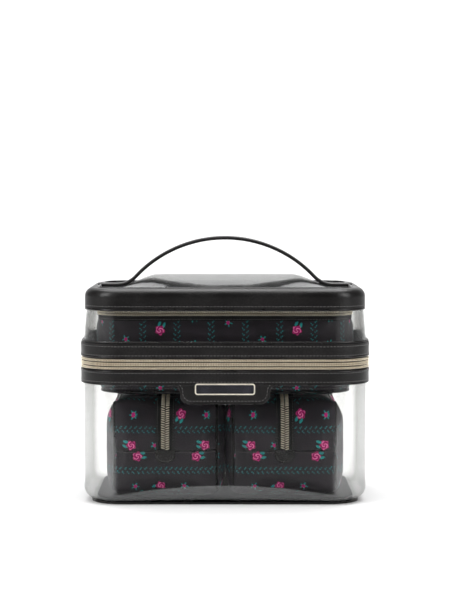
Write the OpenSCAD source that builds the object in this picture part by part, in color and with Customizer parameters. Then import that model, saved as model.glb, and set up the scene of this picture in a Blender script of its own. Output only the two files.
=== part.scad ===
// Clear soft-sided train case with a zipped lid, a strap handle and three zipped inner bags.
// Millimetres. +Z is up, the front faces -Y and the lid hinges along the back.

/* [Case] */
// Width of the clear walls
case_w = 261; // [246:1:270]
// Depth of the clear walls, front to back
case_d = 166; // [162:1:176]
// Corner radius of the walls seen from above
corner_r = 36; // [32:1:40]
// Thickness of the clear sheet
clear_t = 1; // [0.8:0.1:1.2]
// Height at which the lid parts from the case
split_z = 129; // [127:1:133]
// Height of the lid's top face
lid_top = 197.5; // [196:0.5:206]
// Radius of the bend where the walls turn under the case
foot_r = 11; // [9:0.5:12]
// How far the black base panel stands in from the walls
base_inset = 7; // [3:0.5:10]
// How far the lid leans in towards its top band
lean = 2.8; // [2:0.1:3.4]

/* [Bands] */
// Height of the case's band under the zip
body_band_h = 12; // [11:0.5:14]
// Height of the lid's band above the zip
lid_band_h = 12.5; // [11.5:0.5:14]
// How far the bands stand out from the walls
band_t = 2.6; // [2.2:0.1:3]
// Height of the lid's top band
top_band_h = 18.5; // [18:0.5:24]
// Radius of the top band's upper edge
top_edge_r = 8; // [6:0.5:9]
// How far the top band's rim reaches in over the lid
rim_w = 12; // [11:0.5:14]
// Width of the front tab where it leaves the band
tab_w = 95.4; // [86:0.2:104]
// How far the front tab hangs below the band
tab_drop = 17.5; // [16:0.5:20]
// Width of the nameplate
plate_w = 54.5; // [50:0.5:60]
// Height of the nameplate
plate_h = 10.2; // [9:0.1:12]

/* [Handle] */
// Height of the top of the handle
handle_top = 243; // [239:1:248]
// Width of the strap
strap_w = 20; // [16:1:22]
// Thickness of the strap
strap_t = 2.6; // [2.2:0.1:3]
// Bend radius of the strap's arch
arch_r = 115.7; // [112:0.1:119]
// Bend radius where the strap turns out onto the lid
heel_r = 25; // [22:1:28]

/* [Bags] */
// Width of the upper bag
upper_w = 238; // [225:1:240]
// Depth of the upper bag
upper_d = 143; // [130:1:143]
// Height of the upper bag
upper_h = 79.5; // [70:0.5:79.5]
// Corner radius of the upper bag seen from above
upper_r = 30; // [24:1:34]
// Width of each lower bag
lower_w = 107.4; // [98:0.2:108]
// Depth of each lower bag
lower_d = 145; // [138:1:146]
// Height of each lower bag
lower_h = 90; // [84:0.5:90]
// Distance of each lower bag's middle from the middle of the case
lower_x = 54.6; // [54.6:0.1:57.5]
// Thickness of the bags' padded cloth
cloth_t = 2; // [1.5:0.1:2.5]

/* [Hidden] */
$fn = 64;

black = [0.11, 0.1, 0.1];
clear = [0.86, 0.88, 0.9, 0.35];
gold = [0.72, 0.62, 0.47];
steel = [0.75, 0.72, 0.66];
print_cloth = [0.3, 0.2, 0.25];
big = 400;
cut = 1;

// main zip
coil_h = 4.5;
coil_t = band_t;
coil_gap = 1;
tape_t = 0.8;
zip_gap_w = 170;
hinge_gap = 0.5;
band_gap = 1;
band_fold = 2;
body_band_top = split_z - coil_h - band_gap - coil_gap / 2;
body_band_low = body_band_top - body_band_h;
lid_band_low = split_z + coil_h + band_gap + coil_gap / 2;
lid_band_top = lid_band_low + lid_band_h;
lining_h = 10;
wall_lap = 1;
piping_r = 1.1;
end_tab_w = 7;
end_tab_h = 9;
end_tab_t = 0.8;
end_tab_over = 2;

// base
base_t = 2;
board_t = 2;
flange_w = 7;
board_inset = foot_r + 1;

// lid top
top_band_t = 1.6;
top_band_x = -1.2;
top_band_low = lid_top - top_band_h;
sheet_drop = 3;
lid_wall_top = lid_top - top_edge_r - sheet_drop;
lip_r = 1;
lip_cut = 0.55;
welt_r = 1.2;

// front tab and nameplate
tab_r = 7.65;
plate_r = 2.5;
plate_t = 1.5;
plate_rim = 1.1;
plate_recess = 0.8;
enamel_t = 0.4;
plate_drop = 4.3;
plate_z = body_band_low - plate_drop;

// handle
panel_top = lid_top - top_band_t;
arch_z = handle_top - strap_t / 2 - arch_r;
strap_low = panel_top + strap_t / 2;
heel_x = sqrt(pow(arch_r + heel_r, 2) - pow(strap_low + heel_r - arch_z, 2));
heel_turn = asin(heel_x / (arch_r + heel_r));
arch_clear = 12.8;
seam_turn = 0.4;
arch_turn = acos((strap_low + arch_clear - arch_z) / arch_r);
strap_gap = 0.1;
strap_end_x = case_w / 2 - rim_w - 2 * welt_r - strap_gap;

// sliders
play = 0.3;
slider_l = 12;
slider_w = 9;
slider_t = 1.2;
slider_in = 0.6;
web_t = 0.4;
web_l = 8;
bar_r = 0.5;
bar_out = 2.2;
lug_w = 1.4;
lug_l = 7;
lug_post = 1.2;
ring_in = 1.1;
ring_out = 1.9;
ring_w = 1.6;
pull_l = 24;
pull_w = 6.4;
pull_t = 1.2;
pull_r = 2;
front_slider_y = 31;
small_l = 9;
small_t = 0.8;
stud_r = 0.9;
stud_head_r = 1.7;
stud_head_t = 0.5;
eye_r = 1.2;
small_play = 0.15;
small_pull_l = 20;
small_pull_w = 5;
small_pull_t = 0.9;
small_pull_r = 1.6;

// bags
upper_z = 99;
upper_edge_r = 2.4;
upper_flange = 8;
upper_coil_w = 4;
upper_coil_t = 1.6;
upper_strip_w = 4.5;
upper_strip_t = 0.6;
upper_zip_gap = 120;
upper_slider_y = 36;
upper_bead_z = 1.4;
upper_top = upper_z + upper_h;
upper_coil_z = upper_top - upper_edge_r - upper_coil_w / 2;
lower_z = 6.2;
lower_y = -2.5;
lower_side_r = 7;
lower_edge_r = 10;
seam_z = 43;
lower_coil_w = 8;
lower_coil_t = 1.3;
lower_strip_w = 17;
lower_strip_t = 0.8;
strip_end_z = 40;
tab_leather_w = 18.5;
tab_leather_h = 12.5;
tab_leather_t = 1.2;
lower_slider_z = 46;

// A rounded rectangle around the origin.
module rounded(w, d, r) {
    square([w - 2 * r, d], center = true);
    square([w, d - 2 * r], center = true);
    for (sx = [-1, 1], sy = [-1, 1])
        translate([sx * (w / 2 - r), sy * (d / 2 - r)]) circle(r);
}

// A flat plate with rounded corners between two heights.
module plate(w, d, r, low, high) {
    translate([0, 0, low]) linear_extrude(high - low) rounded(w, d, r);
}

// Carries a section around a rounded rectangle. Section x runs outwards and y upwards.
module loop(w, d, r) {
    for (k = [0:3]) {
        across = k % 2 == 0 ? w : d;
        along = k % 2 == 0 ? d : w;
        rotate([0, 0, 90 * k]) {
            translate([across / 2 - r, along / 2 - r, 0])
                rotate_extrude(angle = 90) translate([r, 0]) children();
            translate([across / 2, along / 2 - r, 0])
                rotate([90, 0, 0]) linear_extrude(along - 2 * r) children();
        }
    }
}

// The same, left open along the middle of the back.
module open_loop(w, d, r, gap) {
    difference() {
        loop(w, d, r) children();
        translate([-gap / 2, 0, -big / 2]) cube([gap, big, big]);
    }
}

// A rectangle given by its two corners.
module box2(x0, y0, x1, y1) {
    translate([x0, y0]) square([x1 - x0, y1 - y0]);
}

// Carries a section around the walls of the case.
module case_loop() {
    loop(case_w, case_d, corner_r) children();
}

// ---- case ----
module clear_body_wall() {
    turn_z = base_t + foot_r;
    color(clear) case_loop() {
        box2(-clear_t, turn_z, 0, body_band_top - wall_lap);
        translate([-foot_r, turn_z]) intersection() {
            difference() {
                circle(foot_r);
                circle(foot_r - clear_t);
            }
            box2(0, -foot_r, foot_r, 0);
        }
        box2(-foot_r - flange_w, base_t, -foot_r, base_t + clear_t);
    }
}

module base_panel() {
    inset = base_inset;
    color(black) plate(case_w - 2 * inset, case_d - 2 * inset, corner_r - inset, 0, base_t);
}

module base_board() {
    low_inset = foot_r + flange_w;
    color(black) {
        plate(case_w - 2 * low_inset, case_d - 2 * low_inset, corner_r - low_inset,
            base_t, base_t + clear_t);
        plate(case_w - 2 * board_inset, case_d - 2 * board_inset, corner_r - board_inset,
            base_t + clear_t, base_t + clear_t + board_t);
    }
}

module tab_outline() {
    half = tab_w / 2;
    side = half - tab_r;
    difference() {
        box2(-half, body_band_low - tab_drop, half, body_band_low);
        for (s = [-1, 1]) {
            translate([s * half, body_band_low - tab_r]) circle(tab_r);
            box2(min(s * side, s * half), body_band_low - tab_drop,
                max(s * side, s * half), body_band_low - tab_r);
            translate([s * (side - tab_r / 2), body_band_low - tab_drop + tab_r / 2])
                difference() {
                    square(tab_r, center = true);
                    translate([-s * tab_r / 2, tab_r / 2]) circle(tab_r);
                }
        }
    }
}

module body_band() {
    color(black) {
        case_loop() {
            box2(0, body_band_low, band_t, body_band_low + band_fold);
            box2(tape_t, body_band_low + band_fold, band_t, body_band_top);
        }
        translate([0, -case_d / 2, 0]) rotate([90, 0, 0]) linear_extrude(band_t) tab_outline();
    }
}

module body_band_lining() {
    color(black) case_loop()
        box2(-clear_t - tape_t, body_band_top - wall_lap - lining_h,
            -clear_t, body_band_top - wall_lap);
}

// A thin metal rim with a shallow recess for the enamel.
module nameplate_frame() {
    color(steel) translate([0, -case_d / 2 - band_t, plate_z]) rotate([90, 0, 0]) difference() {
        linear_extrude(plate_t) rounded(plate_w, plate_h, plate_r);
        translate([0, 0, plate_t - plate_recess]) linear_extrude(plate_t)
            rounded(plate_w - 2 * plate_rim, plate_h - 2 * plate_rim, plate_r - plate_rim);
    }
}

module nameplate_insert() {
    w = plate_w - 2 * plate_rim;
    h = plate_h - 2 * plate_rim;
    color(black) translate([0, -case_d / 2 - band_t - plate_t + plate_recess, plate_z])
        rotate([90, 0, 0]) linear_extrude(enamel_t) rounded(w, h, plate_r - plate_rim);
}

// ---- main zip ----
module main_zip_lower() {
    color(gold) open_loop(case_w, case_d, corner_r, zip_gap_w) {
        box2(0, split_z - coil_gap / 2 - coil_h, coil_t, split_z - coil_gap / 2);
        box2(0, body_band_low + band_fold, tape_t, split_z - coil_gap / 2 - coil_h);
    }
}

module main_zip_upper() {
    color(gold) open_loop(case_w, case_d, corner_r, zip_gap_w) {
        box2(0, split_z + coil_gap / 2, coil_t, split_z + coil_gap / 2 + coil_h);
        box2(0, split_z + coil_gap / 2 + coil_h, tape_t, lid_band_top - band_fold);
    }
}

module zip_end_tabs() {
    color(black) for (s = [-1, 1])
        translate([s * (zip_gap_w / 2 - end_tab_w / 2 + end_tab_over), case_d / 2 + band_t,
                split_z - coil_gap / 2 - end_tab_h / 2])
            rotate([-90, 0, 0]) linear_extrude(end_tab_t)
                rounded(end_tab_w, end_tab_h, pull_r);
}

module back_hinge() {
    w = zip_gap_w - 2 * hinge_gap;
    low = body_band_low + band_fold;
    color(black) translate([-w / 2, case_d / 2, low])
        cube([w, tape_t, lid_band_top - band_fold - low]);
}

// ---- lid ----
module lid_wall() {
    low = lid_band_low + wall_lap;
    color(clear) case_loop() polygon([
        [0, low], [0, lid_band_top], [-lean, top_band_low], [-lean, lid_wall_top],
        [-lean - clear_t, lid_wall_top], [-lean - clear_t, top_band_low],
        [-clear_t, lid_band_top], [-clear_t, low]
    ]);
}

module lid_band() {
    color(black) case_loop() {
        box2(tape_t, lid_band_low, band_t, lid_band_top - band_fold);
        box2(0, lid_band_top - band_fold, band_t, lid_band_top);
    }
}

module lid_band_lining() {
    color(black) case_loop()
        box2(-clear_t - tape_t, lid_band_low + wall_lap,
            -clear_t, lid_band_low + wall_lap + lining_h);
}

module lid_band_piping() {
    color(black) case_loop()
        translate([piping_r, lid_band_top + piping_r]) circle(piping_r);
}

// One skin of the top band: a wall, a rounded edge and a rim, thinned by a given inset.
module top_skin(inset) {
    out = top_band_x - inset;
    turn = top_edge_r - inset;
    edge_x = top_band_x - top_edge_r;
    edge_z = lid_top - top_edge_r;
    box2(-rim_w, top_band_low - inset, out, edge_z);
    box2(-rim_w, edge_z, edge_x, lid_top - inset);
    translate([edge_x, edge_z]) circle(turn);
}

module lid_top_band() {
    color(black) case_loop() difference() {
        intersection() {
            top_skin(0);
            box2(-rim_w, top_band_low, 0, lid_top);
        }
        box2(-rim_w - cut, top_band_low - top_edge_r,
            top_band_x - top_band_t, lid_top - top_edge_r);
        top_skin(top_band_t);
    }
}

module lid_top_piping() {
    color(black) case_loop()
        translate([top_band_x - top_band_t / 2, top_band_low - lip_r]) difference() {
            circle(lip_r);
            box2(-big, -big, -lip_cut, big);
        }
}

module lid_top_welt() {
    color(black) case_loop() translate([-rim_w - welt_r, panel_top + welt_r]) circle(welt_r);
}

module lid_top_panel() {
    inset = top_edge_r - top_band_x;
    color(clear) plate(case_w - 2 * inset, case_d - 2 * inset, corner_r - inset,
        panel_top - clear_t, panel_top);
}

// ---- handle ----
// A slice of a ring between two angles measured from upright, turning towards +x.
module ring_slice(r, from, to) {
    difference() {
        circle(r + strap_t / 2);
        circle(r - strap_t / 2);
        rotate(-from) translate([-big, -big / 2]) square(big);
        rotate(180 - to) translate([-big, -big / 2]) square(big);
    }
}

module strap() {
    rotate([90, 0, 0]) linear_extrude(strap_w, center = true) children();
}

module handle_arch() {
    color(black) strap() translate([0, arch_z]) ring_slice(arch_r, -arch_turn, arch_turn);
}

module flex_outline() {
    translate([0, arch_z]) ring_slice(arch_r, arch_turn, heel_turn + seam_turn);
    translate([heel_x, strap_low + heel_r]) rotate(180) ring_slice(heel_r, 0, heel_turn);
}

module handle_flex_right() {
    color(black) strap() flex_outline();
}

module handle_flex_left() {
    color(black) mirror([1, 0, 0]) strap() flex_outline();
}

module handle_end() {
    color(black) translate([heel_x, -strap_w / 2, panel_top])
        cube([strap_end_x - heel_x, strap_w, strap_t]);
}

module handle_end_right() {
    handle_end();
}

module handle_end_left() {
    mirror([1, 0, 0]) handle_end();
}

// ---- main sliders: local x out of the wall, y along the zip, z across it ----
module main_slider() {
    plate_x = coil_t + play;
    color(steel) {
        translate([plate_x, 0, 0]) rotate([0, 90, 0])
            linear_extrude(slider_t) rounded(slider_w, slider_l, pull_r);
        translate([-slider_in - slider_t, 0, 0]) rotate([0, 90, 0])
            linear_extrude(slider_t) rounded(slider_w, web_l, pull_r);
        translate([-slider_in, -web_l / 2, -web_t / 2])
            cube([plate_x + slider_in, web_l, web_t]);
        translate([plate_x + slider_t, 0, -lug_w / 2]) linear_extrude(lug_w) difference() {
            box2(0, -lug_l / 2, bar_out + bar_r, lug_l / 2);
            box2(-cut, -lug_l / 2 + lug_post, bar_out - bar_r, lug_l / 2 - lug_post);
        }
    }
}

module main_pull() {
    color(steel) translate([coil_t + play + slider_t + bar_out, 0, 0]) {
        rotate([90, 0, 0]) linear_extrude(ring_w, center = true) difference() {
            circle(ring_out);
            circle(ring_in);
        }
        translate([-pull_t / 2, 0, -ring_in - pull_l / 2]) rotate([0, 90, 0])
            linear_extrude(pull_t) rounded(pull_l, pull_w, pull_r);
    }
}

module on_right(y) {
    translate([case_w / 2, y, split_z]) children();
}

module main_slider_front() {
    on_right(front_slider_y) main_slider();
}

module main_pull_front() {
    on_right(front_slider_y) main_pull();
}

module main_slider_rear() {
    on_right(case_d / 2 - corner_r) main_slider();
}

module main_pull_rear() {
    on_right(case_d / 2 - corner_r) main_pull();
}

// ---- small sliders: local x out of the cloth, y along the zip, z across it ----
module small_slider(base, w) {
    lift = small_pull_t + 2 * small_play;
    color(steel) translate([base + play, 0, 0]) rotate([0, 90, 0]) {
        linear_extrude(small_t) rounded(w, small_l, small_pull_r);
        cylinder(h = small_t + lift + stud_head_t, r = stud_r);
        translate([0, 0, small_t + lift]) cylinder(h = stud_head_t, r = stud_head_r);
    }
}

// The pull hangs from the stud, straight down along -Z of the case.
module small_pull(base) {
    color(steel) translate([base + play + small_t + small_play, 0, 0]) rotate([0, 90, 0])
        linear_extrude(small_pull_t) difference() {
            translate([small_pull_l / 2 - small_pull_w / 2, 0])
                rounded(small_pull_l, small_pull_w, small_pull_r);
            circle(eye_r);
        }
}

// ---- upper bag ----
module upper_loop() {
    loop(upper_w, upper_d, upper_r) children();
}

module upper_section(inset) {
    turn = upper_edge_r - inset;
    box2(-upper_flange - inset, upper_z + inset, -inset, upper_top - upper_edge_r);
    box2(-upper_flange - inset, upper_top - upper_edge_r, -upper_edge_r, upper_top - inset);
    translate([-upper_edge_r, upper_top - upper_edge_r]) circle(turn);
}

module upper_bag_wall() {
    color(print_cloth) upper_loop() difference() {
        upper_section(0);
        upper_section(cloth_t);
    }
}

module upper_panel(z) {
    color(print_cloth) plate(upper_w - 2 * upper_flange, upper_d - 2 * upper_flange,
        upper_r - upper_flange, z, z + cloth_t);
}

module upper_bag_top() {
    upper_panel(upper_top - cloth_t);
}

module upper_bag_base() {
    upper_panel(upper_z);
}

module half_bead() {
    intersection() {
        circle(piping_r);
        box2(0, -piping_r, piping_r, piping_r);
    }
}

module upper_bag_piping() {
    color(black) upper_loop() translate([0, upper_z + upper_bead_z]) half_bead();
}

module upper_bag_zip_tape() {
    high = upper_coil_z - upper_coil_w / 2;
    color(black) open_loop(upper_w, upper_d, upper_r, upper_zip_gap)
        box2(0, high - upper_strip_w, upper_strip_t, high);
}

module upper_bag_zip() {
    color(gold) open_loop(upper_w, upper_d, upper_r, upper_zip_gap)
        box2(0, upper_coil_z - upper_coil_w / 2, upper_coil_t, upper_coil_z + upper_coil_w / 2);
}

module upper_bag_slider() {
    translate([upper_w / 2, upper_slider_y, upper_coil_z])
        small_slider(upper_coil_t, upper_coil_w + 1);
}

module upper_bag_pull() {
    translate([upper_w / 2, upper_slider_y, upper_coil_z]) small_pull(upper_coil_t);
}

// ---- lower bags, drawn about the middle of their underside ----
module bag_block(inset) {
    h = lower_h - 2 * inset;
    translate([0, 0, inset]) intersection() {
        rotate([90, 0, 0]) linear_extrude(lower_d - 2 * inset, center = true)
            translate([0, h / 2]) rounded(lower_w - 2 * inset, h, lower_side_r - inset);
        rotate([90, 0, 90]) linear_extrude(lower_w - 2 * inset, center = true)
            translate([0, h / 2]) rounded(lower_d - 2 * inset, h, lower_edge_r - inset);
    }
}

module bag_shell() {
    difference() {
        bag_block(0);
        bag_block(cloth_t);
    }
}

seam_x = lower_w / 2 - lower_side_r;

module front_cut() {
    translate([-seam_x, -lower_d / 2 - cut, lower_edge_r])
        cube([2 * seam_x, lower_edge_r, seam_z - lower_edge_r]);
}

module bag_wrap() {
    color(print_cloth) difference() {
        intersection() {
            bag_shell();
            translate([-seam_x, -big / 2, -cut]) cube([2 * seam_x, big, big]);
        }
        front_cut();
    }
}

module bag_front() {
    color(print_cloth) intersection() {
        bag_shell();
        front_cut();
    }
}

module bag_sides() {
    color(print_cloth) difference() {
        bag_shell();
        translate([-seam_x, -big / 2, -cut]) cube([2 * seam_x, big, big]);
    }
}

module bag_piping() {
    color(black) for (s = [-1, 1])
        translate([s * seam_x, 0, lower_h / 2]) rotate([0, 90, 0])
            loop(lower_h, lower_d, lower_edge_r) half_bead();
}

// A strip that runs up the front, over the top and down the back.
module over_strip(w, inner, outer, low) {
    rotate([90, 0, 90]) linear_extrude(w, center = true) difference() {
        translate([0, lower_h / 2])
            rounded(lower_d + 2 * outer, lower_h + 2 * outer, lower_edge_r + outer);
        translate([0, lower_h / 2])
            rounded(lower_d + 2 * inner, lower_h + 2 * inner, lower_edge_r + inner);
        box2(-big, -big, big, low);
    }
}

module bag_zip_tape() {
    color(black) over_strip(lower_strip_w, 0, lower_strip_t, strip_end_z);
}

module bag_zip() {
    color(gold) over_strip(lower_coil_w, lower_strip_t, lower_strip_t + lower_coil_t, seam_z);
}

module bag_tab() {
    r = tab_leather_w / 2;
    color(black) translate([0, -lower_d / 2, seam_z - band_gap]) rotate([90, 0, 0])
        difference() {
            linear_extrude(tab_leather_t + lower_strip_t) intersection() {
                union() {
                    box2(-r, r - tab_leather_h, r, 0);
                    translate([0, r - tab_leather_h]) circle(r);
                }
                box2(-r, -tab_leather_h, r, 0);
            }
            strip_low = band_gap + strip_end_z - seam_z;
            translate([-lower_strip_w / 2, strip_low, -cut])
                cube([lower_strip_w, tab_leather_h, cut + lower_strip_t]);
        }
}

module back_zip_frame() {
    translate([0, lower_d / 2 + lower_strip_t, lower_slider_z]) rotate([0, 0, 90]) children();
}

module bag_slider() {
    back_zip_frame() rotate([90, 0, 0]) small_slider(lower_coil_t, lower_coil_w + 1);
}

module bag_pull() {
    back_zip_frame() small_pull(lower_coil_t);
}

module place_left() {
    translate([-lower_x, lower_y, lower_z]) children();
}

module place_right() {
    translate([lower_x, lower_y, lower_z]) children();
}

module left_bag_wrap() { place_left() bag_wrap(); }
module left_bag_front() { place_left() bag_front(); }
module left_bag_sides() { place_left() bag_sides(); }
module left_bag_piping() { place_left() bag_piping(); }
module left_bag_zip_tape() { place_left() bag_zip_tape(); }
module left_bag_zip() { place_left() bag_zip(); }
module left_bag_tab() { place_left() bag_tab(); }
module left_bag_slider() { place_left() bag_slider(); }
module left_bag_pull() { place_left() bag_pull(); }
module right_bag_wrap() { place_right() bag_wrap(); }
module right_bag_front() { place_right() bag_front(); }
module right_bag_sides() { place_right() bag_sides(); }
module right_bag_piping() { place_right() bag_piping(); }
module right_bag_zip_tape() { place_right() bag_zip_tape(); }
module right_bag_zip() { place_right() bag_zip(); }
module right_bag_tab() { place_right() bag_tab(); }
module right_bag_slider() { place_right() bag_slider(); }
module right_bag_pull() { place_right() bag_pull(); }

clear_body_wall();
base_panel();
base_board();
body_band();
body_band_lining();
nameplate_frame();
nameplate_insert();
main_zip_lower();
zip_end_tabs();
back_hinge();
main_zip_upper();
lid_wall();
lid_band();
lid_band_lining();
lid_band_piping();
lid_top_band();
lid_top_piping();
lid_top_welt();
lid_top_panel();
handle_end_left();
handle_end_right();
handle_flex_left();
handle_flex_right();
handle_arch();
main_slider_front();
main_pull_front();
main_slider_rear();
main_pull_rear();
upper_bag_wall();
upper_bag_top();
upper_bag_base();
upper_bag_piping();
upper_bag_zip_tape();
upper_bag_zip();
upper_bag_slider();
upper_bag_pull();
left_bag_wrap();
left_bag_front();
left_bag_sides();
left_bag_piping();
left_bag_zip_tape();
left_bag_zip();
left_bag_tab();
left_bag_slider();
left_bag_pull();
right_bag_wrap();
right_bag_front();
right_bag_sides();
right_bag_piping();
right_bag_zip_tape();
right_bag_zip();
right_bag_tab();
right_bag_slider();
right_bag_pull();
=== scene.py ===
"""Looks for the clear train case: soft bags, clear sheet, leather bands, zips, stitches, strap."""
import math

import bmesh
import bpy
import numpy as np
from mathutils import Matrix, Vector
from mathutils.bvhtree import BVHTree


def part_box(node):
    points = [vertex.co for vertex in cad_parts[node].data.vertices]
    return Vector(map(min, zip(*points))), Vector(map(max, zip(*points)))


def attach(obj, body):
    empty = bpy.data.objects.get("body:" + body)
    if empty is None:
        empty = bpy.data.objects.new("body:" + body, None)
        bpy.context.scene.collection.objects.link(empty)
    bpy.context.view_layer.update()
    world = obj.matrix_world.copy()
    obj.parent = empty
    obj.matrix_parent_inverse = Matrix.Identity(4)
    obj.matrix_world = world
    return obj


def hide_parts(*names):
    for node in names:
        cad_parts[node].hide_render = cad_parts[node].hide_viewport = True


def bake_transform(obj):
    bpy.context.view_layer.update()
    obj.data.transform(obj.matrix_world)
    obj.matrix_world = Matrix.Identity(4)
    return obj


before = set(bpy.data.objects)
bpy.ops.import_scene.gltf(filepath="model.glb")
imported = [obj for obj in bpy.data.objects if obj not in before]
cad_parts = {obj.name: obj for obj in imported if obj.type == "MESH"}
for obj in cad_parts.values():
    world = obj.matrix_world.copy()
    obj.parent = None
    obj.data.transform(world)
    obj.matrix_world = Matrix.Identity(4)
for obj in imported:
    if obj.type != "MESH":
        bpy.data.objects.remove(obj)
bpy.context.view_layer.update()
MM = 0.001
UP = Vector((0, 0, 1))


# ---- sizes taken from the frame
def side(node, axis, end):
    """One side of a CAD node's box, in metres. axis is 0, 1 or 2; end is 0 for low, 1 for high."""
    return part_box(node)[end][axis]


CASE_W = side("clear_body_wall", 0, 1) * 2
CASE_D = side("clear_body_wall", 1, 1) * 2
CORNER_R = 36 * MM
BAND_OUT = side("body_band", 0, 1) - CASE_W / 2
SPLIT_Z = (side("main_zip_lower", 2, 1) + side("main_zip_upper", 2, 0)) / 2
TAPE_OUT = 0.8 * MM
PANEL_Z = side("lid_top_panel", 2, 1)
BODY_BAND_TOP = side("body_band_lining", 2, 1) + 1 * MM
BODY_BAND_H = 12 * MM
FRONT = Vector((0, -1, 0))
SIDES = ((-1, "left"), (1, "right"))


# ---- node helpers
class Shader:
    """A material under construction, with short calls for the nodes it needs."""

    def __init__(self, name):
        self.material = bpy.data.materials.new(name)
        self.material.use_nodes = True
        self.tree = self.material.node_tree
        self.bsdf = self.tree.nodes["Principled BSDF"]
        self.out = self.tree.nodes["Material Output"]

    def put(self, socket, value):
        if isinstance(value, bpy.types.NodeSocket):
            self.tree.links.new(value, socket)
        elif value is not None:
            socket.default_value = value

    def node(self, kind, inputs=None, **settings):
        n = self.tree.nodes.new(kind)
        for key, value in settings.items():
            setattr(n, key, value)
        for key, value in (inputs or {}).items():
            self.put(n.inputs[key], value)
        return n

    def math(self, operation, a, b=None, c=None, clamp=False):
        n = self.node("ShaderNodeMath", operation=operation, use_clamp=clamp)
        for socket, value in zip(n.inputs, (a, b, c)):
            self.put(socket, value)
        return n.outputs[0]

    def noise(self, vector, scale, detail=3.0, rough=0.5):
        n = self.node("ShaderNodeTexNoise", {"Vector": vector, "Scale": scale,
                                             "Detail": detail, "Roughness": rough})
        return n.outputs["Fac"]

    def ramp(self, value, low, high, to_low=0.0, to_high=1.0, smooth=True):
        kind = "SMOOTHSTEP" if smooth else "LINEAR"
        n = self.node("ShaderNodeMapRange", {"Value": value, "From Min": low, "From Max": high,
                                             "To Min": to_low, "To Max": to_high},
                      interpolation_type=kind)
        return n.outputs["Result"]

    def mix(self, factor, a, b):
        n = self.node("ShaderNodeMix", data_type="RGBA")
        self.put(n.inputs["Factor"], factor)
        self.put(n.inputs[6], a)
        self.put(n.inputs[7], b)
        return n.outputs[2]

    def bump(self, height, distance, strength=1.0, below=None):
        n = self.node("ShaderNodeBump", {"Height": height, "Distance": distance,
                                         "Strength": strength, "Normal": below})
        return n.outputs["Normal"]

    def place(self):
        return self.node("ShaderNodeTexCoord").outputs["Object"]

    def stretched(self, at, scale):
        return self.node("ShaderNodeMapping", {"Vector": at, "Scale": scale}).outputs[0]

    def basic(self, **values):
        names = {"color": "Base Color", "rough": "Roughness", "metal": "Metallic",
                 "normal": "Normal", "sheen": "Sheen Weight", "sheen_rough": "Sheen Roughness",
                 "coat": "Coat Weight", "coat_rough": "Coat Roughness",
                 "specular": "Specular IOR Level"}
        for key, value in values.items():
            if isinstance(value, tuple) and len(value) == 3:
                value = (*value, 1)
            self.put(self.bsdf.inputs[names[key]], value)
        return self.material


# ---- materials
def leather(name, color, grain, rough):
    """Faux leather: fine pebbles with a soft worn sheen."""
    s = Shader(name)
    at = s.place()
    pebbles = s.node("ShaderNodeTexVoronoi", {"Vector": at, "Scale": 800.0 / grain},
                     feature="SMOOTH_F1").outputs["Distance"]
    creases = s.noise(at, 260.0 / grain, 4.0, 0.6)
    wear = s.noise(at, 34.0, 3.0, 0.6)
    tone = s.mix(s.ramp(wear, 0.35, 0.7), (*[c * 0.75 for c in color], 1),
                 (*[c * 1.3 + 0.001 for c in color], 1))
    tone = s.mix(s.ramp(pebbles, 0.25, 0.6), tone, (*[c * 0.5 for c in color], 1))
    normal = s.bump(pebbles, -0.12 * MM * grain, 0.9, s.bump(creases, 0.14 * MM, 0.5))
    return s.basic(color=tone, rough=s.ramp(wear, 0.3, 0.75, rough - 0.05, rough + 0.1),
                   normal=normal, specular=0.3)


def woven(name, color, thread=0.35):
    """A plain woven tape or lining."""
    s = Shader(name)
    at = s.place()
    split = s.node("ShaderNodeSeparateXYZ", {0: at})
    wave = math.tau / (2 * thread * MM)
    rows = s.math("SINE", s.math("MULTIPLY", split.outputs[2], wave))
    over = s.math("SINE", s.math("MULTIPLY",
                                 s.math("ADD", split.outputs[0], split.outputs[1]), wave))
    weave = s.math("MULTIPLY", rows, over)
    fuzz = s.noise(at, 1500.0, 2.0)
    tone = s.mix(s.ramp(weave, -0.6, 0.8), (*[c * 0.6 for c in color], 1), (*color, 1))
    return s.basic(color=tone, rough=s.ramp(fuzz, 0.2, 0.8, 0.6, 0.8), specular=0.25,
                   normal=s.bump(weave, 0.07 * MM, 0.7))


def metal(name, color, rough, brushed=0.0, plating=1.0):
    s = Shader(name)
    at = s.place()
    film = s.noise(at, 220.0, 3.0)
    scratch = s.noise(s.stretched(at, (40, 600, 2200)), 1.0, 2.0)
    tone = s.mix(s.ramp(film, 0.3, 0.75), (*[c * 0.86 for c in color], 1), (*color, 1))
    return s.basic(color=tone, metal=plating, rough=s.ramp(film, 0.25, 0.8, rough, rough + 0.12),
                   normal=s.bump(scratch, 0.01 * MM, 0.2 + brushed))


def enamel():
    s = Shader("black_enamel")
    haze = s.noise(s.place(), 90.0, 4.0)
    tone = s.mix(s.ramp(haze, 0.3, 0.8), (0.008, 0.008, 0.012, 1), (0.02, 0.019, 0.028, 1))
    return s.basic(color=tone, rough=s.ramp(haze, 0.3, 0.8, 0.1, 0.2), coat=0.6,
                   coat_rough=0.06, normal=s.bump(haze, 0.02 * MM, 0.3))


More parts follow.
